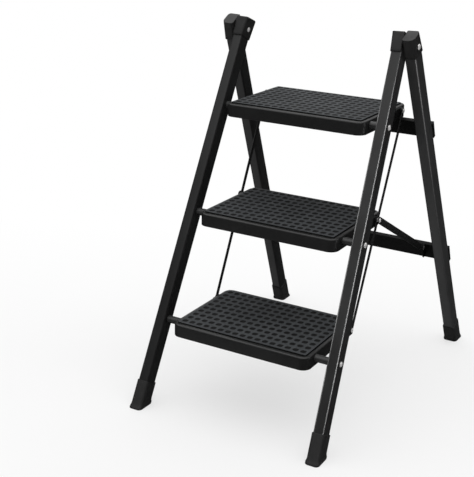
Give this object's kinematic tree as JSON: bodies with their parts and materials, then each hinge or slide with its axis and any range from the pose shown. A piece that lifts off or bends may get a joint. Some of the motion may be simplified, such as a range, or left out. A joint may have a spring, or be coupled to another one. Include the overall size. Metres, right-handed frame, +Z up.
{
  "type": "folding step ladder",
  "caption": "Black folding A-frame step ladder with tray steps on axles, flat link bars and braces, open for standing, folds flat.",
  "frame": {"origin": "on the floor under the middle of the open footprint, the bottom centre of the bounding box", "axes": "+Z up, -Y is the climbing side, +X is the right hand of someone facing the climbing side"},
  "size_m": [0.5776, 0.8365, 0.8848],
  "materials": {
    "painted_steel": "satin black powder coat",
    "tray_steel": "satin black powder coat, pressed sheet",
    "tread_mat": "matt dark grey with moulded grip pattern",
    "cap_plastic": "matt black moulded plastic",
    "foot_rubber": "matt black rubber",
    "zinc_steel": "bright zinc plate",
    "axle_steel": "dull grey steel tube"
  },
  "bodies": {
    "front_frame": {"front_rail_left": "painted_steel", "front_cap_left": "cap_plastic", "front_foot_left": "foot_rubber", "hinge_bolt_left": "zinc_steel", "front_rail_right": "painted_steel", "front_cap_right": "cap_plastic", "front_foot_right": "foot_rubber", "hinge_bolt_right": "zinc_steel", "axle_top": "axle_steel", "axle_rivet_top_left": "zinc_steel", "axle_rivet_top_right": "zinc_steel", "axle_middle": "axle_steel", "axle_rivet_middle_left": "zinc_steel", "axle_rivet_middle_right": "zinc_steel", "axle_bottom": "axle_steel", "axle_rivet_bottom_left": "zinc_steel", "axle_rivet_bottom_right": "zinc_steel"},
    "rear_frame": {"rear_rail_left": "painted_steel", "rear_cap_left": "cap_plastic", "rear_foot_left": "foot_rubber", "brace_foot_rivet_left": "zinc_steel", "rear_rail_right": "painted_steel", "rear_cap_right": "cap_plastic", "rear_foot_right": "foot_rubber", "brace_foot_rivet_right": "zinc_steel", "crossbar_upper": "painted_steel", "crossbar_lower": "painted_steel"},
    "step_top": {"step_top_tray": "tray_steel", "step_top_mat": "tread_mat", "step_top_bracket_left": "tray_steel", "step_top_bracket_right": "tray_steel", "step_top_rivet_left": "zinc_steel", "step_top_rivet_right": "zinc_steel"},
    "step_middle": {"step_middle_tray": "tray_steel", "step_middle_mat": "tread_mat", "step_middle_bracket_left": "tray_steel", "step_middle_bracket_right": "tray_steel", "step_middle_rivet_left": "zinc_steel", "step_middle_rivet_right": "zinc_steel"},
    "step_bottom": {"step_bottom_tray": "tray_steel", "step_bottom_mat": "tread_mat", "step_bottom_bracket_left": "tray_steel", "step_bottom_bracket_right": "tray_steel", "step_bottom_rivet_left": "zinc_steel", "step_bottom_rivet_right": "zinc_steel"},
    "link_rod_left": {"link_rod_left": "painted_steel"},
    "link_rod_right": {"link_rod_right": "painted_steel"},
    "brace_left": {"brace_left": "painted_steel", "brace_top_rivet_left": "zinc_steel"},
    "brace_right": {"brace_right": "painted_steel", "brace_top_rivet_right": "zinc_steel"}
  },
  "joints": [
    {"name": "frame_fold", "type": "hinge", "parent": "front_frame", "child": "rear_frame", "pos_m": [0, 0.0101, 0.853], "axis": [1, 0, 0], "range_deg": [-43.5, 0]},
    {"name": "step_top_tilt", "type": "hinge", "parent": "front_frame", "child": "step_top", "pos_m": [0, -0.0711, 0.68122], "axis": [1, 0, 0], "range_deg": [0, 58.6]},
    {"name": "step_middle_tilt", "type": "hinge", "parent": "front_frame", "child": "step_middle", "pos_m": [0, -0.18563, 0.43893], "axis": [1, 0, 0], "range_deg": [0, 58.6]},
    {"name": "step_bottom_tilt", "type": "hinge", "parent": "front_frame", "child": "step_bottom", "pos_m": [0, -0.30016, 0.19664], "axis": [1, 0, 0], "range_deg": [0, 58.6]},
    {"name": "link_rod_left_swing", "type": "hinge", "parent": "step_middle", "child": "link_rod_left", "pos_m": [-0.18655, -0.01163, 0.44143], "axis": [1, 0, 0], "range_deg": [-58.6, 0]},
    {"name": "link_rod_right_swing", "type": "hinge", "parent": "step_middle", "child": "link_rod_right", "pos_m": [0.18655, -0.01163, 0.44143], "axis": [1, 0, 0], "range_deg": [-58.6, 0]},
    {"name": "brace_left_swing", "type": "hinge", "parent": "rear_frame", "child": "brace_left", "pos_m": [-0.2019, 0.2723, 0.28889], "axis": [1, 0, 0], "range_deg": [-34.1, 0]},
    {"name": "brace_right_swing", "type": "hinge", "parent": "rear_frame", "child": "brace_right", "pos_m": [0.2019, 0.2723, 0.28889], "axis": [1, 0, 0], "range_deg": [-34.1, 0]}
  ],
  "couplings": [
    {"joint": "step_top_tilt", "follows": "frame_fold", "ratio": -1.345},
    {"joint": "step_middle_tilt", "follows": "frame_fold", "ratio": -1.345},
    {"joint": "step_bottom_tilt", "follows": "frame_fold", "ratio": -1.345},
    {"joint": "link_rod_left_swing", "follows": "frame_fold", "ratio": 1.345},
    {"joint": "link_rod_right_swing", "follows": "frame_fold", "ratio": 1.345},
    {"joint": "brace_left_swing", "follows": "frame_fold", "ratio": 0.779},
    {"joint": "brace_right_swing", "follows": "frame_fold", "ratio": 0.779}
  ]
}
